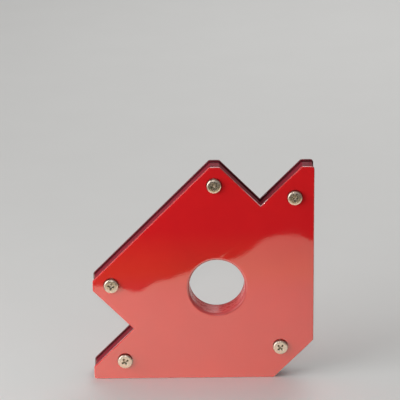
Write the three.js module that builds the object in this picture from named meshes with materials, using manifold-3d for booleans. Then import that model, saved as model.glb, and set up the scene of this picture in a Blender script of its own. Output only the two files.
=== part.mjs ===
// A multi-purpose magnetic welding holder: two red steel plates with a ferrite ring magnet and ferrite bars
// clamped between them, closed by a recessed wall and held by five screws.
//
// It is drawn lying on its back: X to the right, Y up the face and Z out of the face, with the origin at the
// centre of the round hole, halfway through the thickness. The last lines stand it up, facing -Y with +Z up.
// Lengths are in millimetres.

import * as THREE from "three";
import { mergeVertices } from "three/addons/utils/BufferGeometryUtils.js";
import Module from "manifold-3d";

const wasm = await Module();
wasm.setup();

// Outline of the plates. It is symmetric about the diagonal through the hole and the two cut corners.
const SIDE = 120; // the outline fits a square of this side
const HOLE_TO_NEAR_EDGE = 52.5; // from the hole's centre to the right edge, and to the bottom edge
const NOTCH_DEPTH = 22; // depth of each V-notch, whose sides slope at 45 degrees
const CORNER_TIP = 6.8; // flat between a notch and the square's corner
const SLANT_TIP = 5.6; // flat between a notch and the long 45 degree edge
const SMALL_CUT = 21.5; // leg of the 45 degree cut at the bottom right corner
const TIP_RADIUS = 1.5;

// Thickness, from the middle outwards.
const MAGNET_SPACE = 12; // between the inner faces of the plates
const PLATE = 2;
const FIT = 0.25; // clearance kept between neighbouring pieces

// Core.
const HOLE_RADIUS = 15.2;
const WALL_RECESS = 0.8; // how far the wall lies inside the plates' outline
const WALL = 3;
const SLEEVE_RECESS = 0.1;
const SLEEVE = 1.3;
const RING_RADIUS = 36;
const BAR_THICKNESS = 9;
const BAR_LENGTH = 28;
const EDGE_BARS = [22, -10]; // middles of the bars along the right edge, upwards from the hole's centre
const SLANT_BARS = [16, -16]; // and along the 45 degree edge, either side of its middle

// M4 fasteners.
const THREAD_RADIUS = 2;
const CLEARANCE_RADIUS = THREAD_RADIUS + FIT;
const HEAD_RADIUS = 4;
const HEAD_HEIGHT = 1.9;
const HEAD_RIM = 1; // height of the head's upright side
const HEAD_SQUARENESS = 0.25; // 1 would make the crown an ellipse, and less makes it flatter on top
const RECESS_ARM = 2.1; // half the span of the cross recess
const RECESS_WIDTH = 0.9;
const RECESS_DEPTH = 1.5;
const RECESS_FLOOR = 0.4; // span of the recess's floor as a share of its mouth
const TIP_CHAMFER = 0.5; // at the end of the thread
const TUBE_RADIUS = 3.5;
const WASHER_RADIUS = 3.4;
const WASHER = 1;
const WASHER_SLIT = 0.9;
const NUT_ACROSS_FLATS = 7;
const NUT = 3.2;
const NUT_CHAMFER = Math.PI / 6; // slope of the chamfer on a nut's corners
const THREAD_PAST_NUT = 1.2;
const SLANT_SCREW_INSET = 10; // from the flat end of a slanted tip to its screw
const SLANT_SCREW_OFFSET = 3.2; // and along that flat end, from the notch to the screw
const CORNER_SCREW_INSET = 10.5; // from the straight edge beside a corner tip to its screw
const CORNER_SCREW_DROP = 17; // from the flat end of a corner tip down to its screw
const CUT_SCREW_INSET = 10.25; // from the small cut to its screw

// Degrees by which the head, the lock washer and the nut of each screw happened to end up turned.
const TURNS = [
  { head: 12, washer: 130, nut: 7 },
  { head: 4, washer: 20, nut: 41 },
  { head: 80, washer: 250, nut: 22 },
  { head: 28, washer: 75, nut: 53 },
  { head: 45, washer: 310, nut: 15 },
];

// Smoothness: flat facets on a full turn, on a rounded tip and from a head's rim to its top.
const HOLE_FACETS = 72;
const RING_FACETS = 64;
const FASTENER_FACETS = 24;
const TIP_FACETS = 4;
const CROWN_FACETS = 4;
const MERGE_DISTANCE = 1e-4; // closer vertices are one

const NEAR = HOLE_TO_NEAR_EDGE;
const FAR = SIDE - NEAR; // from the hole's centre to the top edge, and to the left edge
const NOTCH_RIGHT = NEAR - CORNER_TIP; // where the top notch meets the top edge, either side
const NOTCH_LEFT = NOTCH_RIGHT - 2 * NOTCH_DEPTH;
const SLANT_DISTANCE = (FAR - NOTCH_LEFT + SLANT_TIP) / Math.SQRT2; // from the hole's centre to the long cut
const CORE_HEIGHT = MAGNET_SPACE - 2 * FIT;
const FACE = MAGNET_SPACE / 2 + PLATE; // outer face of either plate

const paint = (color) => new THREE.MeshStandardMaterial({ color, roughness: 0.25, metalness: 0 });
const plating = () => new THREE.MeshStandardMaterial({ color: 0xb9b4a6, roughness: 0.35, metalness: 1 });
const ferrite = () => new THREE.MeshStandardMaterial({ color: 0x2a2a2c, roughness: 0.7, metalness: 0 });
const RED = 0xc0181c;
const DEEP_RED = 0xa5161e;

// ---------- outlines ----------

const point = (x, y) => new THREE.Vector2(x, y);

// Reflects a point in the diagonal that runs from the top left to the bottom right.
const mirrored = ({ x, y }) => point(-y, -x);

// Corners of the plate, anticlockwise from the small cut. Each is { at, radius }.
function plateCorners() {
  const upperHalf = [
    { at: point(NEAR, SMALL_CUT - NEAR), radius: TIP_RADIUS },
    { at: point(NEAR, FAR), radius: TIP_RADIUS },
    { at: point(NOTCH_RIGHT, FAR), radius: TIP_RADIUS },
    { at: point(NOTCH_RIGHT - NOTCH_DEPTH, FAR - NOTCH_DEPTH), radius: 0 },
    { at: point(NOTCH_LEFT, FAR), radius: TIP_RADIUS },
    { at: point(NOTCH_LEFT - SLANT_TIP, FAR), radius: TIP_RADIUS },
  ];
  const lowerHalf = upperHalf.toReversed().map(({ at, radius }) => ({ at: mirrored(at), radius }));
  return [...upperHalf, ...lowerHalf];
}

// The same corners moved inwards, so that each edge lies the given distance inside its old place.
function insetCorners(corners, distance) {
  return corners.map(({ at }, i) => {
    const before = corners.at(i - 1).at;
    const after = corners[(i + 1) % corners.length].at;
    const arriving = at.clone().sub(before).normalize();
    const leaving = after.clone().sub(at).normalize();
    const inwards = point(-arriving.y - leaving.y, arriving.x + leaving.x);
    const reach = distance / (1 + arriving.dot(leaving));
    return { at: at.clone().addScaledVector(inwards, reach), radius: 0 };
  });
}

// Points along an arc, both ends included.
function arc(centre, radius, from, to, steps) {
  return Array.from({ length: steps + 1 }, (_, i) => {
    const angle = from + ((to - from) * i) / steps;
    return point(centre.x + radius * Math.cos(angle), centre.y + radius * Math.sin(angle));
  });
}

// Points of a closed outline whose corners are rounded to their radius.
function roundedOutline(corners) {
  return corners.flatMap(({ at, radius }, i) => {
    if (radius === 0) return [at.clone()];
    const towardsBefore = corners.at(i - 1).at.clone().sub(at).normalize();
    const towardsAfter = corners[(i + 1) % corners.length].at.clone().sub(at).normalize();
    const halfAngle = Math.acos(towardsBefore.dot(towardsAfter)) / 2;
    const inwards = towardsBefore.clone().add(towardsAfter).normalize();
    const centre = at.clone().addScaledVector(inwards, radius / Math.sin(halfAngle));
    const turn = Math.PI / 2 - halfAngle;
    const middle = Math.atan2(-inwards.y, -inwards.x);
    return arc(centre, radius, middle - turn, middle + turn, TIP_FACETS);
  });
}

function circle(centre, radius, facets) {
  return arc(centre, radius, 0, 2 * Math.PI, facets).slice(0, -1);
}

// A flat piece between two heights, with straight-walled holes.
function slab(outline, holes, low, high) {
  const shape = new THREE.Shape(outline);
  shape.holes = holes.map((hole) => new THREE.Path(hole));
  const geometry = new THREE.ExtrudeGeometry(shape, { depth: high - low, bevelEnabled: false });
  return geometry.translate(0, 0, low);
}

function tube(outerRadius, innerRadius, facets, low, high) {
  const centre = point(0, 0);
  return slab(circle(centre, outerRadius, facets), [circle(centre, innerRadius, facets)], low, high);
}

// ---------- cutting and joining ----------

function toSolid(geometry) {
  const bare = geometry.clone();
  bare.deleteAttribute("normal");
  bare.deleteAttribute("uv");
  const merged = mergeVertices(bare, MERGE_DISTANCE);
  const vertProperties = new Float32Array(merged.attributes.position.array);
  const triVerts = new Uint32Array(merged.index.array);
  return new wasm.Manifold(new wasm.Mesh({ numProp: 3, vertProperties, triVerts }));
}

function toGeometry(solid) {
  const { vertProperties, triVerts } = solid.getMesh();
  const geometry = new THREE.BufferGeometry();
  geometry.setAttribute("position", new THREE.BufferAttribute(vertProperties, 3));
  geometry.setIndex(new THREE.BufferAttribute(triVerts, 1));
  geometry.computeVertexNormals();
  return geometry;
}

// ---------- the assembly ----------

const holder = new THREE.Group();

function addPiece(name, geometry, material, parent = holder) {
  const mesh = new THREE.Mesh(geometry, material);
  mesh.name = name;
  parent.add(mesh);
  return mesh;
}

// Centres of the five screws: two above the diagonal, their reflections below it, and one on it.
function screwCentres() {
  const slantTip = point(NOTCH_LEFT - SLANT_SCREW_OFFSET, FAR - SLANT_SCREW_INSET);
  const cornerTip = point(NEAR - CORNER_SCREW_INSET, FAR - CORNER_SCREW_DROP);
  const cutCorner = point(NEAR - SMALL_CUT / 2, SMALL_CUT / 2 - NEAR);
  cutCorner.addScaledVector(point(-1, 1).normalize(), CUT_SCREW_INSET);
  return [slantTip, cornerTip, mirrored(slantTip), mirrored(cornerTip), cutCorner];
}

function addPlates(centres) {
  const outline = roundedOutline(plateCorners());
  const hole = circle(point(0, 0), HOLE_RADIUS, HOLE_FACETS);
  const screwHoles = centres.map((centre) => circle(centre, CLEARANCE_RADIUS, FASTENER_FACETS));
  const plate = slab(outline, [hole, ...screwHoles], 0, PLATE);
  addPiece("front_plate", plate, paint(RED)).position.z = MAGNET_SPACE / 2;
  addPiece("back_plate", plate, paint(RED)).position.z = -FACE;
}

// The wall that closes the space between the plates, one loop that follows their outline.
function addSpacerFrame() {
  const outside = insetCorners(plateCorners(), WALL_RECESS).map(({ at }) => at);
  const inside = insetCorners(plateCorners(), WALL_RECESS + WALL).map(({ at }) => at);
  const geometry = slab(outside, [inside], -CORE_HEIGHT / 2, CORE_HEIGHT / 2);
  addPiece("spacer_frame", geometry, paint(DEEP_RED));
}

// The lining of the hole, and the ring magnet round it.
function addHoleCore() {
  const sleeveBore = HOLE_RADIUS + SLEEVE_RECESS;
  const sleeveOutside = sleeveBore + SLEEVE;
  const sleeve = tube(sleeveOutside, sleeveBore, HOLE_FACETS, -CORE_HEIGHT / 2, CORE_HEIGHT / 2);
  addPiece("hole_sleeve", sleeve, paint(DEEP_RED));
  const ring = tube(RING_RADIUS, sleeveOutside + FIT, RING_FACETS, -CORE_HEIGHT / 2, CORE_HEIGHT / 2);
  addPiece("ring_magnet", ring, ferrite());
}

// Pairs of bar magnets behind the right, bottom and 45 degree edges.
function addBarMagnets() {
  const edges = [
    { facing: 0, distance: NEAR, along: EDGE_BARS },
    { facing: -Math.PI / 2, distance: NEAR, along: EDGE_BARS.map((offset) => -offset) },
    { facing: (3 * Math.PI) / 4, distance: SLANT_DISTANCE, along: SLANT_BARS },
  ];
  const bar = new THREE.BoxGeometry(BAR_THICKNESS, BAR_LENGTH, CORE_HEIGHT);
  let number = 0;
  for (const { facing, distance, along } of edges) {
    const rail = new THREE.Group();
    rail.rotation.z = facing;
    holder.add(rail);
    for (const offset of along) {
      number += 1;
      const magnet = addPiece(`bar_magnet_${number}`, bar, ferrite(), rail);
      magnet.position.x = distance - WALL_RECESS - WALL - 2 * FIT - BAR_THICKNESS / 2;
      magnet.position.y = offset;
    }
  }
}

// A pan head and plain shank about Z, its underside at height zero, with a tapered cross recess.
function screwGeometry(shankLength) {
  const crownRise = HEAD_HEIGHT - HEAD_RIM;
  const crown = Array.from({ length: CROWN_FACETS + 1 }, (_, i) => {
    const angle = (Math.PI / 2) * (1 - i / CROWN_FACETS);
    const radius = HEAD_RADIUS * Math.sin(angle) ** HEAD_SQUARENESS;
    return point(radius, HEAD_RIM + crownRise * Math.cos(angle));
  });
  const profile = [
    point(0, -shankLength),
    point(THREAD_RADIUS - TIP_CHAMFER, -shankLength),
    point(THREAD_RADIUS, TIP_CHAMFER - shankLength),
    point(THREAD_RADIUS, 0),
    point(HEAD_RADIUS, 0),
    ...crown,
  ];
  const body = new THREE.LatheGeometry(profile, FASTENER_FACETS).rotateX(Math.PI / 2);
  const arm = new THREE.BoxGeometry(2 * RECESS_ARM, RECESS_WIDTH, 2 * RECESS_DEPTH);
  const taper = arm.attributes.position;
  for (let i = 0; i < taper.count; i++) {
    if (taper.getZ(i) < 0) taper.setX(i, taper.getX(i) * RECESS_FLOOR);
  }
  arm.translate(0, 0, HEAD_HEIGHT);
  const cross = toSolid(arm).add(toSolid(arm.clone().rotateZ(Math.PI / 2)));
  return toGeometry(toSolid(body).subtract(cross));
}

// A hexagon nut between heights zero and NUT, its corners chamfered top and bottom.
function nutGeometry() {
  const cornerRadius = NUT_ACROSS_FLATS / Math.sqrt(3);
  const centre = point(0, 0);
  const hexagon = circle(centre, cornerRadius, 6);
  const prism = slab(hexagon, [circle(centre, CLEARANCE_RADIUS, FASTENER_FACETS)], 0, NUT);
  const faceRadius = NUT_ACROSS_FLATS / 2;
  const chamfer = (cornerRadius - faceRadius) * Math.tan(NUT_CHAMFER);
  const profile = [
    point(0, 0),
    point(faceRadius, 0),
    point(cornerRadius, chamfer),
    point(cornerRadius, NUT - chamfer),
    point(faceRadius, NUT),
    point(0, NUT),
  ];
  const envelope = new THREE.LatheGeometry(profile, 2 * FASTENER_FACETS).rotateX(Math.PI / 2);
  return toGeometry(toSolid(prism).intersect(toSolid(envelope)));
}

// A spring washer: a ring with a slit through one side.
function lockWasherGeometry() {
  const centre = point(0, 0);
  const slit = WASHER_SLIT / 2 / CLEARANCE_RADIUS;
  const outside = arc(centre, WASHER_RADIUS, slit, 2 * Math.PI - slit, FASTENER_FACETS);
  const inside = arc(centre, CLEARANCE_RADIUS, 2 * Math.PI - slit, slit, FASTENER_FACETS);
  return slab([...outside, ...inside], [], 0, WASHER);
}

// At each screw: the spacer tube between the plates, and the screw, lock washer and nut through them.
function addFasteners(centres) {
  const washerSeat = -FACE - FIT - WASHER;
  const nutSeat = washerSeat - FIT - NUT;
  const headSeat = FACE + FIT;
  const screw = screwGeometry(headSeat - nutSeat + THREAD_PAST_NUT);
  const nut = nutGeometry();
  const lockWasher = lockWasherGeometry();
  const spacer = tube(TUBE_RADIUS, CLEARANCE_RADIUS, FASTENER_FACETS, -CORE_HEIGHT / 2, CORE_HEIGHT / 2);
  centres.forEach((centre, i) => {
    const station = new THREE.Group();
    station.position.set(centre.x, centre.y, 0);
    holder.add(station);
    const addTurned = (name, geometry, seat, turn) => {
      const mesh = addPiece(`${name}_${i + 1}`, geometry, plating(), station);
      mesh.position.z = seat;
      mesh.rotation.z = THREE.MathUtils.degToRad(turn);
    };
    addTurned("spacer_tube", spacer, 0, 0);
    addTurned("screw", screw, headSeat, TURNS[i].head);
    addTurned("lock_washer", lockWasher, washerSeat, TURNS[i].washer);
    addTurned("nut", nut, nutSeat, TURNS[i].nut);
  });
}

const centres = screwCentres();
addPlates(centres);
addSpacerFrame();
addHoleCore();
addBarMagnets();
addFasteners(centres);

// Stand it on its bottom edge with the face towards -Y, centred over the origin.
const frontReach = FACE + FIT + HEAD_HEIGHT;
const backReach = FACE + 2 * FIT + WASHER + NUT + THREAD_PAST_NUT;
holder.rotation.x = Math.PI / 2;
holder.position.set((FAR - NEAR) / 2, (frontReach - backReach) / 2, NEAR);

const upright = new THREE.Group();
upright.add(holder);

export default upright;
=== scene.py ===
import math

import bmesh
import bpy
from mathutils import Matrix, Vector


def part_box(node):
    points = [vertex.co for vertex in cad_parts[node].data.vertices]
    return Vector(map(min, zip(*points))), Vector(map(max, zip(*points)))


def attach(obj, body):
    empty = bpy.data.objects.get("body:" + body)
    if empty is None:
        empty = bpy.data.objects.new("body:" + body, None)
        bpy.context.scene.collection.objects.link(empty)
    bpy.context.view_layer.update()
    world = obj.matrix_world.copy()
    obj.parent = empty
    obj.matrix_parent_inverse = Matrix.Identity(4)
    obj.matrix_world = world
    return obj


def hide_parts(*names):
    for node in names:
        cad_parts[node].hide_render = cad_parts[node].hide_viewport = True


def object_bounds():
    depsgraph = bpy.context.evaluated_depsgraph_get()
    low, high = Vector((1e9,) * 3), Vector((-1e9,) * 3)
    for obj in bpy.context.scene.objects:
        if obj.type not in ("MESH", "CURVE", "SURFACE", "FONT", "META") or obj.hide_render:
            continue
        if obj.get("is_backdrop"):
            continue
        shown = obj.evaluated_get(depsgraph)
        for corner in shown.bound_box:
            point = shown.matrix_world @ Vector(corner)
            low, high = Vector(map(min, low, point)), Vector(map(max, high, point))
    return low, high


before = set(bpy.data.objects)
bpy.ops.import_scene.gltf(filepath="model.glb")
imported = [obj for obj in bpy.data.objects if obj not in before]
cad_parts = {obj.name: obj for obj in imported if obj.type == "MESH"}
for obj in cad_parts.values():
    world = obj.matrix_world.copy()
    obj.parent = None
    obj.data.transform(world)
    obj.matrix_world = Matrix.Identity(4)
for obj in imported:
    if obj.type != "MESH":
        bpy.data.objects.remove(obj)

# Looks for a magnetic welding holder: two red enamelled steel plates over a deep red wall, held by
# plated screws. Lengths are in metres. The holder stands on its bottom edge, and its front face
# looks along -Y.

MM = 0.001
FASTENERS = range(1, 6)
BAR_MAGNETS = range(1, 7)

# Edges and tolerances.
PLATE_EDGE = 0.5 * MM  # radius of the plates' outer edges, under the enamel
PLATE_INNER_EDGE = 0.12 * MM
HOLE_EDGE = 1.5 * MM  # the hole's outer edges are rolled
HOLE_INNER_EDGE = 0.2 * MM
CORE_EDGE = 0.3 * MM
MERGE_DISTANCE = 0.002 * MM
SEAM_DISTANCE = MERGE_DISTANCE / 10  # joins a ring's last loop to its first
FLAT_ANGLE = math.radians(0.5)  # faces that differ by less are one face
SHARP_ANGLE = math.radians(40)
ROUND_STEPS = 120  # facets on a full turn of the sleeve and the ring magnet
ARC_STEPS = 3  # facets on a quarter turn of a rounded edge

# M4 screws with pan heads.
THREAD_RADIUS = 2 * MM
PITCH = 0.7 * MM
THREAD_DEPTH = 0.4 * MM
NECK = 1.2 * MM  # unthreaded shank under the head
TIP_CHAMFER = 0.5 * MM
HEAD_SIDE = 1.0 * MM  # height of the head's upright side
HEAD_SQUARENESS = 8  # exponent of the crown's curve: 2 is an ellipse, and more is flatter on top
UNDERHEAD_EDGE = 0.15 * MM
UNDERHEAD_BEND = UNDERHEAD_EDGE * 0.3  # how far the middle of that edge lies from its two faces
CROWN_FLAT = 0.78  # share of the head's radius where the loops turn from cross-shaped to round
CROWN_SHARES = (0.1, 0.3, 0.6, 0.85, 1.0)
# Round loops out to the head's rim: share of its radius, and painted shade.
CROWN_RINGS = (
    (0.83, 0.0),
    (0.88, 0.0),
    (0.92, 0.0),
    (0.945, 0.2),
    (0.965, 0.5),
    (0.985, 0.8),
    (1.0, 0.9),
)
RECESS_REACH = 2.05 * MM  # half the span of the cross recess at its mouth
RECESS_WIDTH = 1.0 * MM
RECESS_CORNER = 0.2 * MM  # radius at the corners of each arm's end
RECESS_FILLET = 0.35 * MM  # radius between two arms
RECESS_ARC_STEPS = 2
RECESS_LIP = 0.08 * MM
RECESS_DEPTH = 1.45 * MM
FLOOR_REACH = 0.95 * MM  # the same for the recess's floor
FLOOR_WIDTH = 0.7 * MM
FLOOR_CORNER = 0.12 * MM
FLOOR_FILLET = 0.25 * MM
# The floor is dished: share of the floor's outline, and depth below it.
CUP_PROFILE = ((0.15, 0.2 * MM), (0.5, 0.16 * MM), (0.85, 0.06 * MM))
# Share of the way up the recess's sides, and the painted shade there.
RECESS_PAINTED_SHADE = ((0.06, 0.55), (0.5, 0.75), (0.93, 0.6))
UNSHADED = 0.0
# Painted shade on the recess's lip, round the head's side and neck, and in the thread's roots.
LIP_PAINTED_SHADE = 0.25
SIDE_PAINTED_SHADE = 0.9
THREAD_PAINTED_SHADE = 0.8
THREAD_PROFILE = ((0, 0), (0.125, 0), (0.45, 1), (0.675, 1))  # share of the pitch, share of the depth

# Nuts, lock washers and spacer tubes.
NUT_BORE = 2.01 * MM
NUT_COUNTERSINK = 0.35 * MM
NUT_CHAMFER = math.pi / 6
NUT_FACE = 0.94  # radius of the nut's flat face as a share of half its width across flats
NUT_CORNER = 0.985  # what is left of a nut's corner radius once it is blunted
NUT_STEPS = 96
NUT_EDGE = 0.08 * MM
NUT_EDGE_DIP = NUT_EDGE * 0.2
NUT_SHARP_ANGLE = math.radians(25)
WASHER_THICKNESS = 1.05 * MM
WASHER_SLIT = math.radians(13)  # half the angle that the split takes
WASHER_EDGE = 0.14 * MM
WASHER_STEPS = 72
TUBE_EDGE = 0.2 * MM
TUBE_STEPS = 48

# Degrees by which the head, the lock washer and the nut of each screw are turned.
TURNS = (
    {"head": 12, "washer": 130, "nut": 7},
    {"head": 4, "washer": 20, "nut": 41},
    {"head": 80, "washer": 250, "nut": 22},
    {"head": 28, "washer": 75, "nut": 53},
    {"head": 45, "washer": 310, "nut": 15},
)

# Colours, as linear red, green and blue. A pair holds the two ends of a tone that varies gently.
ENAMEL = ((0.52, 0.0080, 0.0120), (0.59, 0.0105, 0.0125))
# Painted shade: the enamel's edges darker, most on the back plate's, and its inner faces darkest.
ENAMEL_FRONT_EDGE_SHADE = (0.46, 0.020, 0.022)
ENAMEL_BACK_EDGE_SHADE = (0.20, 0.008, 0.012)
ENAMEL_INNER_FACE_SHADE = (0.10, 0.008, 0.014)
ENAMEL_PAINTED_HEAD_SHADOW = (0.16, 0.006, 0.006)
ENAMEL_HOLE_EDGE_SHEEN = (0.44, 0.055, 0.055)
# The wall's dark maroon is partly its own deep red and partly painted shade.
WALL = ((0.18, 0.010, 0.020), (0.23, 0.013, 0.026))
WALL_CORNER_SHADE = (0.045, 0.006, 0.008)
# The lining's paler, pinker tone is painted sheen.
LINING_AND_SHEEN = ((0.50, 0.030, 0.030), (0.58, 0.040, 0.038))
# The zinc's warm, pinkish tint is partly its own and partly a painted reflection of the red enamel round
# it.
ZINC_WITH_RED_SHEEN = ((0.68, 0.55, 0.45), (0.60, 0.53, 0.45))
ZINC_PAINTED_SHADE = (0.24, 0.25, 0.18)
FERRITE = ((0.020, 0.020, 0.023), (0.040, 0.040, 0.044))

# Where one colour gives way to another.
EDGE_FACING = (0.98, 0.6)  # how squarely along Y a surface faces where an edge begins, and well round it
HOLE_EDGE_FADE = 0.5 * MM  # width of the fade into the hole's rolled edge and its painted sheen
INNER_FACE_FADE = 0.3 * MM  # width of the fade into the painted shade on the plates' inner faces
HEAD_SHADOW = 0.5 * MM  # width of the painted shadow round each head, a dark ring that fades out
WALL_FRONT_SHADE = (1.5 * MM, 5.5 * MM)  # distances from the front plate where the painted shade is full, and where it ends
WALL_BACK_SHADE = (0.5 * MM, 3.0 * MM)  # the same from the back plate
HOLE_EDGE_ROUGHNESS = 0.25
NOISE_SPAN = (0.3, 0.7)  # the noise seldom leaves this span
GLOSS_SPAN = (0.3, 0.75)  # the span that the enamel's gloss follows

# Camera.
CAMERA_PLACE = Vector((-10.2, -1242.4, 476.35)) * MM
CAMERA_TURN = (73.107, 0.370, -0.520)  # degrees: tilt, roll and pan
CAMERA_LENS = 216  # millimetres

# The pale card lies in front of the holder. Its wavy far edge is the wavy top of its reflection.
CARD_WAVES = (
    (-0.140, -0.164),
    (-0.095, -0.164),
    (-0.056, -0.165),
    (-0.046, -0.160),
    (-0.039, -0.156),
    (-0.034, -0.162),
    (-0.028, -0.173),
    (-0.018, -0.179),
    (-0.010, -0.188),
    (0.006, -0.205),
    (0.022, -0.217),
    (0.031, -0.232),
    (0.042, -0.257),
    (0.055, -0.266),
    (0.066, -0.263),
    (0.073, -0.252),
    (0.090, -0.235),
    (0.120, -0.215),
)
CARD_NEAR = -0.005
CARD_LEFT = -0.1
CARD_RIGHT = 0.45
WAVE_STEPS = 8  # straight pieces between two points of the edge
CARD_GLOW = (1.0, 0.93, 0.74)
CARD_FADE = (-0.09, -0.25)  # where the glow starts to weaken, and where it is weakest
CARD_FAR_SHARE = 0.8
CARD_HEIGHT = 0.2 * MM
CARD_STRENGTH = (4.35, 3.05)  # at the holder's left and right sides

# A fainter copy of the pale card, which only the fasteners reflect.
FAINT_HEIGHT = 0.3 * MM
FAINT_STRENGTH = (0.55, 0.45)

# The dark card lies under the pale one and reaches farther out.
DARK_LEFT = -1.2
DARK_RIGHT = 1.2
DARK_FAR = -1.9
DARK_NEAR = -0.15
DARK_WARM = -0.19  # where its warm colour is reached
DARK_BLACK = -0.275  # and where it is black
DARK_HEIGHT = 0.1 * MM
WARM_COLOUR = (0.90, 0.75, 0.20)
BLACK_COLOUR = (0.025, 0.025, 0.025)

FLOOR_RADIUS = 4
FLOOR_STEPS = 128
FLOOR_HEIGHT = -0.01 * MM
FLOOR_GREY = (0.76, 0.76, 0.75)
FLOOR_PALE = (0.79, 0.79, 0.78)
FLOOR_RIM = (0.97, 0.97, 0.97)
FLOOR_FADE = (1.0, 2.5)  # where the rim's colour begins and where it is reached

WORLD_LIGHT = 0.28
WORLD_COLOUR = (1.0, 0.99, 0.97)

# Soft lamps, each with its place, the side of its square and its power in watts.
LAMP_AIM = (0, 0, 0.06)
LAMPS = {
    "key": ((-0.58, -0.34, 0.30), 0.6, 3.4),
    "front": ((-0.02, -1.3, 0.54), 0.06, 1.8),
    "top": ((0, 0.25, 1.1), 0.9, 1.2),
    "back": ((0.3, 1.1, 0.9), 0.8, 5.0),
}


# ---------- mesh tools ----------

def add_piece(name, bm, material, nodes, sharp_angle=SHARP_ANGLE):
    """An object made of bm that rides on the frame's body and stands for the given CAD nodes."""
    bmesh.ops.recalc_face_normals(bm, faces=bm.faces)
    mesh = bpy.data.meshes.new(name)
    bm.to_mesh(mesh)
    bm.free()
    mesh.materials.append(material)
    mesh.shade_smooth()
    mesh.set_sharp_from_angle(angle=sharp_angle)
    piece = bpy.data.objects.new(name, mesh)
    bpy.context.scene.collection.objects.link(piece)
    normals = piece.modifiers.new("flat_faces_stay_flat", "WEIGHTED_NORMAL")
    normals.keep_sharp = True
    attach(piece, "root")
    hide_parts(*nodes)
    return piece


def cad_copy(node):
    """The node's mesh as clean polygons in a new bmesh."""
    bm = bmesh.new()
    bm.from_mesh(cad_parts[node].data)
    bmesh.ops.remove_doubles(bm, verts=bm.verts, dist=MERGE_DISTANCE)
    bmesh.ops.dissolve_limit(bm, angle_limit=FLAT_ANGLE, verts=bm.verts, edges=bm.edges)
    return bm


def sharp_edges(bm):
    return [e for e in bm.edges if e.calc_face_angle(0) > SHARP_ANGLE]


def round_edges(bm, edges, radius):
    bmesh.ops.bevel(bm, geom=edges, offset=radius, segments=ARC_STEPS, profile=0.5, affect="EDGES")


def middle(node):
    low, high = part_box(node)
    return (low + high) / 2


def radii(node, centre):
    """Least and greatest distance of the node's vertices from the axis along Y through centre."""
    found = [math.hypot(v.co.x - centre.x, v.co.z - centre.z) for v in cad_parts[node].data.vertices]
    return min(found), max(found)


def turned_place(centre, depth, turn=0.0):
    """The frame of a round piece: its Z points out of the holder's front face, and turn is in degrees."""
    there = Matrix.Translation((centre.x, depth, centre.z))
    return there @ Matrix.Rotation(math.pi / 2, 4, "X") @ Matrix.Rotation(math.radians(turn), 4, "Z")


def loft(bm, loops, values=None):
    """Joins loops of equally many points by quads and returns their vertices.

    The loops' values go to the attribute "painted_shade".
    """
    layer = bm.verts.layers.float.get("painted_shade") or bm.verts.layers.float.new("painted_shade")
    rows = []
    for i, loop in enumerate(loops):
        row = [bm.verts.new(p) for p in loop]
        for v in row:
            v[layer] = values[i] if values else 0.0
        rows.append(row)
    for before, after in zip(rows, rows[1:]):
        for j in range(len(before)):
            k = (j + 1) % len(before)
            bm.faces.new((before[j], before[k], after[k], after[j]))
    return rows


def circle(radius, height, steps):
    turns = (2 * math.pi * j / steps for j in range(steps))
    return [Vector((radius * math.cos(a), radius * math.sin(a), height)) for a in turns]


def arc(centre, radius, start, end, steps):
    """Points on an arc, both ends included. Angles are in degrees."""
    angles = (math.radians(start + (end - start) * i / steps) for i in range(steps + 1))
    return [(centre[0] + radius * math.cos(a), centre[1] + radius * math.sin(a)) for a in angles]


def rounded_box(left, right, low, high, radius):
    """Outline of a rectangle with rounded corners, anticlockwise."""
    points = []
    corners = ((right, high, -1, -1), (left, high, 1, -1), (left, low, 1, 1), (right, low, -1, 1))
    for i, (x, y, inwards_x, inwards_y) in enumerate(corners):
        centre = (x + inwards_x * radius, y + inwards_y * radius)
        points += arc(centre, radius, 90 * i, 90 * (i + 1), ARC_STEPS)
    return points


def ring(inner, outer, low, high, edge, steps):
    """A closed ring about Z with rounded edges, in a new bmesh."""
    bm = bmesh.new()
    section = rounded_box(inner, outer, low, high, edge)
    loops = [circle(radius, height, steps) for radius, height in section + section[:1]]
    loft(bm, loops)
    bmesh.ops.remove_doubles(bm, verts=bm.verts, dist=SEAM_DISTANCE)
    return bm


# ---------- materials ----------

def add_node(tree, kind, inputs=None, **settings):
    """A shader node whose inputs are plain values or other nodes' sockets."""
    node = tree.nodes.new("ShaderNode" + kind)
    for key, value in settings.items():
        setattr(node, key, value)
    for key, value in (inputs or {}).items():
        if isinstance(value, bpy.types.NodeSocket):
            tree.links.new(value, node.inputs[key])
        else:
            node.inputs[key].default_value = value
    return node


def new_material(name, values):
    """A material whose Principled shader has those values, with its node tree, shader and coordinates."""
    material = bpy.data.materials.new(name)
    material.use_nodes = True
    tree = material.node_tree
    shader = tree.nodes["Principled BSDF"]
    for key, value in values.items():
        shader.inputs[key].default_value = value
    place = add_node(tree, "TexCoord").outputs["Object"]
    return material, tree, shader, place


def grain(tree, place, size, detail):
    """Noise from 0 to 1 whose blotches are about that size."""
    inputs = {"Vector": place, "Scale": 1 / size, "Detail": detail}
    return add_node(tree, "TexNoise", inputs).outputs["Fac"]


def spread(tree, value, low, high, to_low=0.0, to_high=1.0):
    """value, stretched so that low to high becomes to_low to to_high, and held there."""
    inputs = {"Value": value, "From Min": low, "From Max": high, "To Min": to_low, "To Max": to_high}
    return add_node(tree, "MapRange", inputs).outputs["Result"]


def mottle(tree, place, size, detail, low=0.0, high=1.0, span=NOISE_SPAN):
    """Blotches of about that size, whose values run from low to high as the noise crosses the span."""
    return spread(tree, grain(tree, place, size, detail), *span, low, high)


def fade(tree, value, near, far):
    """1 where value is near or less, falling to 0 at far."""
    return spread(tree, value, near, far, 1.0, 0.0)


def along(tree, axis, vector):
    """The vector's share along X, Y or Z."""
    return add_node(tree, "SeparateXYZ", {"Vector": vector}).outputs[axis]


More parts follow.
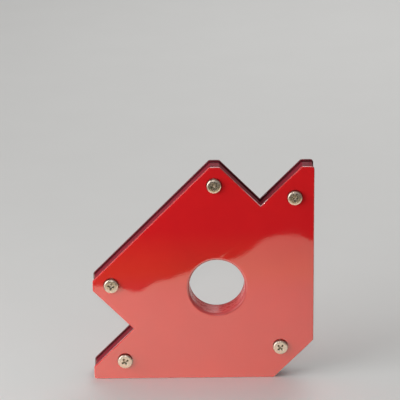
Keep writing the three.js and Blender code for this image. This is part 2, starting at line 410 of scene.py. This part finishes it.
def blend(tree, share, first, second):
    """A colour from first, at share 0, to second, at share 1. Each is an RGB triple or a socket."""
    node = add_node(tree, "Mix", data_type="RGBA")
    for socket, value in ((node.inputs[0], share), (node.inputs[6], first), (node.inputs[7], second)):
        if isinstance(value, bpy.types.NodeSocket):
            tree.links.new(value, socket)
        else:
            socket.default_value = (*value, 1) if isinstance(value, tuple) else value
    return node.outputs[2]


def relief(tree, height, depth, under=None):
    """Bump of that depth, on top of the bump under it."""
    inputs = {"Height": height, "Distance": depth, "Strength": 1.0}
    if under is not None:
        inputs["Normal"] = under
    return add_node(tree, "Bump", inputs).outputs["Normal"]


def dress(tree, shader, colour, roughness, normal):
    """Links a shader's colour, roughness and relief."""
    tree.links.new(colour, shader.inputs["Base Color"])
    tree.links.new(roughness, shader.inputs["Roughness"])
    tree.links.new(normal, shader.inputs["Normal"])


def combine(tree, operation, first, second):
    """Two values put together by a Math node."""
    return add_node(tree, "Math", {0: first, 1: second}, operation=operation).outputs[0]


def absolute(tree, value):
    return add_node(tree, "Math", {0: value}, operation="ABSOLUTE").outputs[0]


def edge_share(tree):
    """0 on faces square to Y, rising to 1 on the edges round them."""
    normal = add_node(tree, "NewGeometry").outputs["Normal"]
    return spread(tree, absolute(tree, along(tree, "Y", normal)), *EDGE_FACING)


def away_from_axis(tree, place, centre):
    """Distance from the axis along Y through centre."""
    flat = add_node(tree, "VectorMath", {0: place, 1: (1, 0, 1)}, operation="MULTIPLY").outputs[0]
    inputs = {0: flat, 1: (centre.x, 0, centre.z)}
    return add_node(tree, "VectorMath", inputs, operation="DISTANCE").outputs["Value"]


def hole_edge_share(tree, place):
    """1 on the hole's rolled edge, fading to 0 where the flat face begins; it sets the edge's painted
    sheen and its haze.
    """
    centre = middle("hole_sleeve")
    end = radii("front_plate", centre)[0] + HOLE_EDGE
    return fade(tree, away_from_axis(tree, place, centre), end - HOLE_EDGE_FADE, end)


def head_shadow_share(tree, place):
    """Where the painted shadow round the heads goes: 1 at the rim of the nearest screw head, fading to 0
    a little way out.
    """
    nearest = None
    for number in FASTENERS:
        away = away_from_axis(tree, place, fastener_centre(number))
        nearest = away if nearest is None else combine(tree, "MINIMUM", nearest, away)
    head = radii("screw_1", fastener_centre(1))[1]
    return fade(tree, nearest, head, head + HEAD_SHADOW)


def inner_face_shade_share(tree, depth):
    """Where the painted shade on the plates' inner faces goes: 1 on those faces, fading to 0 a little way
    out along their edges.
    """
    front, back = gap_between_plates()
    from_middle = absolute(tree, combine(tree, "SUBTRACT", depth, (front + back) / 2))
    half_gap = (back - front) / 2
    return fade(tree, from_middle, half_gap, half_gap + INNER_FACE_FADE)


def enamel_red():
    """Gloss enamel: slightly wavy, with fine orange peel, and a painted shadow round the heads.

    It is darker on the edges, above all on the back plate's, and darkest on the inner faces: painted
    shade.
    """
    material, tree, shader, place = new_material("enamel_red", {"IOR": 1.5, "Specular IOR Level": 0.45})
    body = blend(tree, mottle(tree, place, 45 * MM, detail=3), *ENAMEL)
    depth = along(tree, "Y", place)
    towards_back = spread(tree, depth, *gap_between_plates())
    # Painted shade on the edges, darker towards the back plate.
    edge = blend(tree, towards_back, ENAMEL_FRONT_EDGE_SHADE, ENAMEL_BACK_EDGE_SHADE)
    edges_shaded = blend(tree, edge_share(tree), body, edge)
    # Painted shade on the plates' inner faces.
    inner_faces_shaded = blend(tree, inner_face_shade_share(tree, depth), edges_shaded, ENAMEL_INNER_FACE_SHADE)
    # Painted shadow round each screw head.
    head_shadowed = blend(tree, head_shadow_share(tree, place), inner_faces_shaded, ENAMEL_PAINTED_HEAD_SHADOW)
    hole_edge = hole_edge_share(tree, place)
    # Painted sheen: the hole's rolled edge paler and pinker.
    colour = blend(tree, hole_edge, head_shadowed, ENAMEL_HOLE_EDGE_SHEEN)
    gloss = mottle(tree, place, 9 * MM, detail=4, low=0.03, high=0.06, span=GLOSS_SPAN)
    hole_haze = combine(tree, "MULTIPLY", hole_edge, HOLE_EDGE_ROUGHNESS)
    haze = combine(tree, "MAXIMUM", gloss, hole_haze)
    waves = relief(tree, grain(tree, place, 30 * MM, detail=1), depth=0.05 * MM)
    peel = relief(tree, grain(tree, place, 1.3 * MM, detail=1), depth=0.005 * MM, under=waves)
    dress(tree, shader, colour, haze, peel)
    return material


def wall_red():
    """The deep red wall: matt and finely grained. Its dark maroon is partly painted shade, and painted
    shade darkens its corners with the plates.
    """
    material, tree, shader, place = new_material("wall_red", {"IOR": 1.5, "Specular IOR Level": 0.06})
    body = blend(tree, mottle(tree, place, 14 * MM, detail=4), *WALL)
    depth = along(tree, "Y", place)
    front, back = gap_between_plates()
    from_front = combine(tree, "SUBTRACT", depth, front)
    from_back = combine(tree, "SUBTRACT", back, depth)
    # Painted shade in the wall's corners with both plates.
    front_shade = fade(tree, from_front, *WALL_FRONT_SHADE)
    back_shade = fade(tree, from_back, *WALL_BACK_SHADE)
    colour = blend(tree, combine(tree, "MAXIMUM", front_shade, back_shade), body, WALL_CORNER_SHADE)
    haze = mottle(tree, place, 4 * MM, detail=3, low=0.45, high=0.6)
    texture = relief(tree, grain(tree, place, 0.8 * MM, detail=2), depth=0.02 * MM)
    dress(tree, shader, colour, haze, texture)
    return material


def lining_red():
    """Enamel inside the hole, thinner and less even than on the plates; its paler, pinker tone is painted
    sheen.
    """
    material, tree, shader, place = new_material("lining_red", {"IOR": 1.5, "Specular IOR Level": 0.25})
    colour = blend(tree, mottle(tree, place, 7 * MM, detail=4), *LINING_AND_SHEEN)
    haze = mottle(tree, place, 3 * MM, detail=3, low=0.22, high=0.34)
    texture = relief(tree, grain(tree, place, 1.6 * MM, detail=2), depth=0.02 * MM)
    dress(tree, shader, colour, haze, texture)
    return material


def zinc():
    """Zinc plating, dull and a little warm, and dark greenish where the mesh has painted shade: in the
    cross recess, round the head's side and in the thread's roots.
    """
    material, tree, shader, place = new_material("zinc", {"Metallic": 1.0})
    # Partly painted reflection: a pinkish tint from the red enamel round the fasteners.
    bright = blend(tree, mottle(tree, place, 2.2 * MM, detail=4), *ZINC_WITH_RED_SHEEN)
    painted_shade = add_node(tree, "Attribute", attribute_name="painted_shade").outputs["Fac"]
    # Painted shade where the mesh's painted_shade attribute is set.
    colour = blend(tree, painted_shade, bright, ZINC_PAINTED_SHADE)
    haze = mottle(tree, place, 0.7 * MM, detail=3, low=0.22, high=0.36)
    texture = relief(tree, grain(tree, place, 0.5 * MM, detail=3), depth=0.012 * MM)
    dress(tree, shader, colour, haze, texture)
    return material


def ferrite():
    """Sintered ferrite: dark grey and matt, with pores and a slight grain."""
    material, tree, shader, place = new_material("ferrite", {"IOR": 1.6})
    colour = blend(tree, mottle(tree, place, 3 * MM, detail=5), *FERRITE)
    haze = mottle(tree, place, 1 * MM, detail=4, low=0.55, high=0.75)
    texture = relief(tree, grain(tree, place, 0.4 * MM, detail=4), depth=0.03 * MM)
    dress(tree, shader, colour, haze, texture)
    return material


def pale_floor():
    """Matt pale floor, white towards its rim, so that it meets the background softly."""
    material, tree, shader, place = new_material("pale_floor", {"Roughness": 0.7})
    tone = grain(tree, place, 60 * MM, detail=3)
    away = add_node(tree, "VectorMath", {0: place}, operation="LENGTH").outputs["Value"]
    nearby = blend(tree, tone, FLOOR_GREY, FLOOR_PALE)
    colour = blend(tree, spread(tree, away, *FLOOR_FADE), nearby, FLOOR_RIM)
    tree.links.new(colour, shader.inputs["Base Color"])
    return material


def dark_card():
    """Card that is as pale as the floor at its near edge, then warm, and black from some way out."""
    material, tree, shader, place = new_material("dark_card", {"Roughness": 0.9})
    out = along(tree, "Y", place)
    warm = blend(tree, spread(tree, out, DARK_NEAR, DARK_WARM), FLOOR_GREY, WARM_COLOUR)
    colour = blend(tree, spread(tree, out, DARK_WARM, DARK_BLACK), warm, BLACK_COLOUR)
    tree.links.new(colour, shader.inputs["Base Color"])
    return material


def glow(left_strength, right_strength):
    """Light that is added to whatever lies behind it, weaker towards the right and farther out."""
    material = bpy.data.materials.new("glow")
    material.use_nodes = True
    tree = material.node_tree
    tree.nodes.remove(tree.nodes["Principled BSDF"])
    place = add_node(tree, "TexCoord").outputs["Object"]
    low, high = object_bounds()
    across = spread(tree, along(tree, "X", place), low.x, high.x, left_strength, right_strength)
    outwards = spread(tree, along(tree, "Y", place), *CARD_FADE, 1.0, CARD_FAR_SHARE)
    strength = combine(tree, "MULTIPLY", across, outwards)
    light = add_node(tree, "Emission", {"Color": (*CARD_GLOW, 1), "Strength": strength}).outputs[0]
    clear = add_node(tree, "BsdfTransparent").outputs[0]
    both = add_node(tree, "AddShader", {0: light, 1: clear}).outputs[0]
    tree.links.new(both, tree.nodes["Material Output"].inputs["Surface"])
    return material


# ---------- plates and core ----------

def gap_between_plates():
    """Where the inner faces of the front and back plates lie along Y."""
    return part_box("front_plate")[1].y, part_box("back_plate")[0].y


def add_plate(node, outer_y, material):
    """A punched plate whose outer edges are rounded more than its inner ones, and the hole's the most."""
    bm = cad_copy(node)
    hole = middle("hole_sleeve")
    bore = radii("hole_sleeve", hole)[0]
    groups = {PLATE_EDGE: [], PLATE_INNER_EDGE: [], HOLE_EDGE: [], HOLE_INNER_EDGE: []}
    for edge in sharp_edges(bm):
        ends = [v.co for v in edge.verts]
        on_hole = all(math.hypot(end.x - hole.x, end.z - hole.z) < bore for end in ends)
        if all(abs(end.y - outer_y) < MERGE_DISTANCE for end in ends):
            groups[HOLE_EDGE if on_hole else PLATE_EDGE].append(edge)
        elif all(abs(end.y - outer_y) > MERGE_DISTANCE for end in ends):
            groups[HOLE_INNER_EDGE if on_hole else PLATE_INNER_EDGE].append(edge)
    for radius, edges in groups.items():
        round_edges(bm, edges, radius)
    return add_piece(node.replace("plate", "enamelled_plate"), bm, material, [node])


def add_wall(material):
    """The spacer frame, stretched to touch both plates."""
    bm = cad_copy("spacer_frame")
    centre = middle("spacer_frame").y
    front, back = gap_between_plates()
    for v in bm.verts:
        v.co.y = front if v.co.y < centre else back
    round_edges(bm, sharp_edges(bm), CORE_EDGE)
    return add_piece("moulded_wall", bm, material, ["spacer_frame"])


def add_ring_piece(name, node, edge, steps, material):
    """A ring that replaces a round CAD node and reaches from plate to plate."""
    centre = middle(node)
    inner, outer = radii(node, centre)
    front, back = gap_between_plates()
    bm = ring(inner, outer, -(back - front) / 2, (back - front) / 2, edge, steps)
    bmesh.ops.transform(bm, matrix=turned_place(centre, (front + back) / 2), verts=bm.verts)
    return add_piece(name, bm, material, [node])


def add_bar_magnet(number, material):
    node = f"bar_magnet_{number}"
    bm = cad_copy(node)
    round_edges(bm, sharp_edges(bm), CORE_EDGE)
    add_piece(f"ferrite_bar_{number}", bm, material, [node])


# ---------- fasteners ----------

def fastener_centre(number):
    return middle(f"spacer_tube_{number}")


def cross_loop(reach, width, corner, fillet):
    """Outline of a four-armed cross about the origin, anticlockwise."""
    half = width / 2
    inside = half + fillet
    steps = RECESS_ARC_STEPS
    lower = arc((inside, -inside), fillet, 135, 90, steps)
    lower_end = arc((reach - corner, corner - half), corner, -90, 0, steps)
    upper_end = arc((reach - corner, half - corner), corner, 0, 90, steps)
    upper = arc((inside, inside), fillet, 270, 225, steps)[:-1]
    thirds = [inside + (reach - corner - inside) * share for share in (1 / 3, 2 / 3)]
    lower_side = [(x, -half) for x in thirds]
    upper_side = [(x, half) for x in reversed(thirds)]
    arm = lower + lower_side + lower_end + upper_end + upper_side + upper
    turns = [Matrix.Rotation(math.pi / 2 * k, 2) for k in range(4)]
    return [turn @ Vector(p) for turn in turns for p in arm]


def at_height(points, height):
    return [Vector((p.x, p.y, height)) for p in points]


def between(first, second, share):
    """Each point that far along the way from its place in the first loop to its place in the second."""
    return [a.lerp(b, share) for a, b in zip(first, second)]


def head_loops(radius, height):
    """Loops of a pan head from the floor of its cross recess out to the neck, each with its painted
    shade.
    """
    mouth = cross_loop(RECESS_REACH, RECESS_WIDTH, RECESS_CORNER, RECESS_FILLET)
    floor = cross_loop(FLOOR_REACH, FLOOR_WIDTH, FLOOR_CORNER, FLOOR_FILLET)
    step = 2 * math.pi / len(mouth)
    angles = [j * step - math.pi / 4 for j in range(len(mouth))]
    rim = [Vector((math.cos(a), math.sin(a))) for a in angles]

    def crown(distance):
        share = min(1, distance / radius)
        return HEAD_SIDE + (height - HEAD_SIDE) * math.sqrt(1 - share**HEAD_SQUARENESS)

    def on_crown(points, drop=0.0):
        return [Vector((p.x, p.y, crown(p.length) - drop)) for p in points]

    bottom = height - RECESS_DEPTH
    loops = [(at_height([p * share for p in floor], bottom - dip), UNSHADED) for share, dip in CUP_PROFILE]
    deep = at_height(floor, bottom)
    loops += [(between(deep, on_crown(mouth), share), painted_shade) for share, painted_shade in RECESS_PAINTED_SHADE]
    lip = [p + p.normalized() * RECESS_LIP for p in mouth]
    loops += [(on_crown(mouth, RECESS_LIP / 2), LIP_PAINTED_SHADE), (on_crown(lip), UNSHADED)]
    round_top = [p * radius * CROWN_FLAT for p in rim]
    loops += [(on_crown(between(lip, round_top, share)), UNSHADED) for share in CROWN_SHARES]
    loops += [(on_crown([p * radius * distance for p in rim]), painted_shade) for distance, painted_shade in CROWN_RINGS]
    side = [
        (radius, HEAD_SIDE / 2),
        (radius, UNDERHEAD_EDGE),
        (radius - UNDERHEAD_BEND, UNDERHEAD_BEND),
        (radius - UNDERHEAD_EDGE, 0.0),
        (THREAD_RADIUS + UNDERHEAD_EDGE, 0.0),
        (THREAD_RADIUS, -UNDERHEAD_EDGE),
        (THREAD_RADIUS, -NECK),
    ]
    loops += [(at_height([p * distance for p in rim], level), SIDE_PAINTED_SHADE) for distance, level in side]
    return loops


def add_thread(bm, neck, low):
    """A right-handed thread from the neck's row of vertices down to low, in rows that spiral down."""
    layer = bm.verts.layers.float["painted_shade"]
    top = neck[0].co.z
    tip = THREAD_RADIUS - TIP_CHAMFER
    rows = [neck]
    for turn in range(math.ceil((top - low) / PITCH) + 1):
        for share, cut in THREAD_PROFILE:
            row = []
            for j, start in enumerate(neck):
                height = top + PITCH * (j / len(neck) - turn - share)
                height = max(low, min(top, height))
                depth = cut * min(1.0, (top - height) / PITCH)
                distance = min(THREAD_RADIUS - THREAD_DEPTH * depth, tip + height - low)
                v = bm.verts.new((*(start.co.xy.normalized() * distance), height))
                # Painted shade, deepest in the thread's roots.
                v[layer] = THREAD_PAINTED_SHADE * depth
                row.append(v)
            rows.append(row)
    per_turn = len(THREAD_PROFILE)
    for i, (before, after) in enumerate(zip(rows, rows[1:])):
        upper = [*before, rows[max(0, i - per_turn)][0]]
        lower = [*after, rows[max(0, i + 1 - per_turn)][0]]
        for quad in zip(upper, upper[1:], lower[1:], lower):
            corners = list(dict.fromkeys(quad))
            if len(corners) > 2:
                bm.faces.new(corners)


def add_screw(number, material):
    node = f"screw_{number}"
    low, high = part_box(node)
    centre = fastener_centre(number)
    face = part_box("front_plate")[0].y
    bm = bmesh.new()
    loops = head_loops(radii(node, centre)[1], face - low.y)
    rows = loft(bm, [loop for loop, _ in loops], [painted_shade for _, painted_shade in loops])
    bm.faces.new(rows[0])
    add_thread(bm, rows[-1], face - high.y)
    bmesh.ops.remove_doubles(bm, verts=bm.verts, dist=MERGE_DISTANCE)
    bmesh.ops.holes_fill(bm, edges=[e for e in bm.edges if e.is_boundary], sides=0)
    place = turned_place(centre, face, TURNS[number - 1]["head"])
    bmesh.ops.transform(bm, matrix=place, verts=bm.verts)
    return add_piece(f"pan_head_screw_{number}", bm, material, [node])


def add_nut(number, material):
    node = f"nut_{number}"
    low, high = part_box(node)
    centre = fastener_centre(number)
    top = (high.y - low.y) / 2
    corner = radii(node, centre)[1]
    half_across = corner * math.cos(math.pi / 6)
    face = half_across * NUT_FACE

    def hexagon(angle):
        towards_flat = angle % (math.pi / 3) - math.pi / 6
        return min(NUT_CORNER * corner, half_across / math.cos(towards_flat))

    def chamfer(angle):
        return (hexagon(angle) - face) * math.tan(NUT_CHAMFER)

    def round_loop(distance, drop):
        return circle(distance, top - drop, NUT_STEPS)

    def six_sided_loop(inwards, extra_drop):
        loop = []
        for j in range(NUT_STEPS):
            angle = 2 * math.pi * j / NUT_STEPS
            distance = hexagon(angle) - inwards
            height = top - chamfer(angle) - extra_drop
            loop.append(Vector((distance * math.cos(angle), distance * math.sin(angle), height)))
        return loop

    upper = [
        round_loop(NUT_BORE, NUT_COUNTERSINK),
        round_loop(NUT_BORE + NUT_COUNTERSINK, 0.0),
        round_loop(face - NUT_EDGE, 0.0),
        round_loop(face, NUT_EDGE_DIP),
        six_sided_loop(NUT_EDGE, 0.0),
        six_sided_loop(0.0, NUT_EDGE),
    ]
    lower = [[Vector((p.x, p.y, -p.z)) for p in loop] for loop in reversed(upper)]
    bm = bmesh.new()
    loft(bm, upper + lower + upper[:1])
    bmesh.ops.remove_doubles(bm, verts=bm.verts, dist=MERGE_DISTANCE)
    place = turned_place(centre, (low.y + high.y) / 2, TURNS[number - 1]["nut"])
    bmesh.ops.transform(bm, matrix=place, verts=bm.verts)
    return add_piece(f"hexagon_nut_{number}", bm, material, [node], NUT_SHARP_ANGLE)


def add_lock_washer(number, material):
    """A split spring washer, not quite pressed flat, so that its two ends stand a little apart."""
    node = f"lock_washer_{number}"
    centre = fastener_centre(number)
    inner, outer = radii(node, centre)
    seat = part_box("back_plate")[1].y
    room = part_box(f"nut_{number}")[0].y - seat
    spring = room - WASHER_THICKNESS
    section = rounded_box(inner, outer, -WASHER_THICKNESS / 2, WASHER_THICKNESS / 2, WASHER_EDGE)
    loops = []
    for i in range(WASHER_STEPS + 1):
        share = i / WASHER_STEPS
        angle = WASHER_SLIT + (2 * math.pi - 2 * WASHER_SLIT) * share
        lift = spring * (share - 0.5)
        loops.append([Vector((r * math.cos(angle), r * math.sin(angle), z + lift)) for r, z in section])
    bm = bmesh.new()
    rows = loft(bm, loops)
    bm.faces.new(rows[0])
    bm.faces.new(rows[-1])
    place = turned_place(centre, seat + room / 2, TURNS[number - 1]["washer"])
    bmesh.ops.transform(bm, matrix=place, verts=bm.verts)
    return add_piece(f"spring_washer_{number}", bm, material, [node])


# ---------- stage ----------

def add_flat_stage(name, outline, height, material):
    """A level sheet on the stage, such as the floor."""
    bm = bmesh.new()
    bm.faces.new([bm.verts.new((*point, height)) for point in outline])
    bmesh.ops.recalc_face_normals(bm, faces=bm.faces)
    mesh = bpy.data.meshes.new(name)
    bm.to_mesh(mesh)
    bm.free()
    mesh.materials.append(material)
    sheet = bpy.data.objects.new(name, mesh)
    bpy.context.scene.collection.objects.link(sheet)
    sheet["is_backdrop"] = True
    return sheet


def smooth_curve(points, steps):
    """A Catmull-Rom curve through all the points but the first and the last."""
    curve = []
    for a, b, c, d in zip(points, points[1:], points[2:], points[3:]):
        a, b, c, d = Vector(a), Vector(b), Vector(c), Vector(d)
        for i in range(steps):
            t = i / steps
            slope = (c - a) / 2
            bend = a - 2.5 * b + 2 * c - d / 2
            twist = 1.5 * (b - c) + (d - a) / 2
            curve.append(b + slope * t + bend * t**2 + twist * t**3)
    return curve


def seen_only_in_reflections(card):
    card.visible_camera = False
    card.visible_diffuse = False
    card.visible_transmission = False
    card.visible_shadow = False


def light_only(card, pieces):
    """Lets the card's light fall on these pieces and no others."""
    lit = bpy.data.collections.new("lit_by_" + card.name)
    for piece in pieces:
        lit.objects.link(piece)
    card.light_linking.receiver_collection = lit


def add_cards(enamelled, fasteners):
    """Cards in front of the holder, seen only as reflections in its face: pale near it, dark farther out.

    The fasteners reflect less of the pale card's light, which comes to them from a fainter copy of it.
    """
    edge = [tuple(point) for point in smooth_curve(CARD_WAVES, WAVE_STEPS)]
    corners = [(CARD_LEFT, CARD_NEAR), (CARD_RIGHT, CARD_NEAR), (CARD_RIGHT, CARD_WAVES[-1][1])]
    outline = corners + edge[::-1]
    left, right, near, far = DARK_LEFT, DARK_RIGHT, DARK_NEAR, DARK_FAR
    dark_outline = [(left, near), (right, near), (right, far), (left, far)]
    pale = add_flat_stage("pale_card", outline, CARD_HEIGHT, glow(*CARD_STRENGTH))
    faint = add_flat_stage("faint_card", outline, FAINT_HEIGHT, glow(*FAINT_STRENGTH))
    dark = add_flat_stage("dark_card", dark_outline, DARK_HEIGHT, dark_card())
    light_only(pale, enamelled)
    light_only(faint, fasteners)
    for card in (pale, faint, dark):
        seen_only_in_reflections(card)


def add_softbox(name, place, side, power):
    """A square lamp aimed at the middle of the holder."""
    light = bpy.data.lights.new(name, "AREA")
    light.size = side
    light.energy = power
    lamp = bpy.data.objects.new(name, light)
    bpy.context.scene.collection.objects.link(lamp)
    lamp.location = place
    lamp.rotation_euler = (Vector(LAMP_AIM) - lamp.location).to_track_quat("-Z", "Y").to_euler()
    lamp.visible_camera = False


def add_world():
    """An even, faintly warm light from all round."""
    world = bpy.data.worlds.new("studio")
    world.use_nodes = True
    background = world.node_tree.nodes["Background"]
    background.inputs["Color"].default_value = (*WORLD_COLOUR, 1)
    background.inputs["Strength"].default_value = WORLD_LIGHT
    bpy.context.scene.world = world


def add_stage(enamelled, fasteners):
    floor = [(FLOOR_RADIUS * p.x, FLOOR_RADIUS * p.y) for p in circle(1, 0, FLOOR_STEPS)]
    add_flat_stage("floor", floor, FLOOR_HEIGHT, pale_floor())
    add_cards(enamelled, fasteners)
    add_world()
    for name, (place, side, power) in LAMPS.items():
        add_softbox(name, place, side, power)


def add_camera():
    camera = bpy.data.objects.new("camera", bpy.data.cameras.new("camera"))
    bpy.context.scene.collection.objects.link(camera)
    camera.data.lens = CAMERA_LENS
    camera.location = CAMERA_PLACE
    camera.rotation_euler = [math.radians(a) for a in CAMERA_TURN]
    bpy.context.scene.camera = camera


def main():
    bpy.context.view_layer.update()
    enamel, deep_red, lining, plated, magnet = enamel_red(), wall_red(), lining_red(), zinc(), ferrite()
    enamelled = [
        add_plate("front_plate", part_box("front_plate")[0].y, enamel),
        add_plate("back_plate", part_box("back_plate")[1].y, enamel),
        add_wall(deep_red),
        add_ring_piece("hole_lining", "hole_sleeve", CORE_EDGE, ROUND_STEPS, lining),
    ]
    add_ring_piece("ferrite_ring", "ring_magnet", CORE_EDGE, ROUND_STEPS, magnet)
    for number in BAR_MAGNETS:
        add_bar_magnet(number, magnet)
    fasteners = []
    for number in FASTENERS:
        tube = f"spacer_tube_{number}"
        add_ring_piece(f"distance_tube_{number}", tube, TUBE_EDGE, TUBE_STEPS, plated)
        fasteners.append(add_screw(number, plated))
        fasteners.append(add_lock_washer(number, plated))
        fasteners.append(add_nut(number, plated))
    add_stage(enamelled, fasteners)
    add_camera()
    bpy.context.scene.view_settings.view_transform = "Standard"


main()
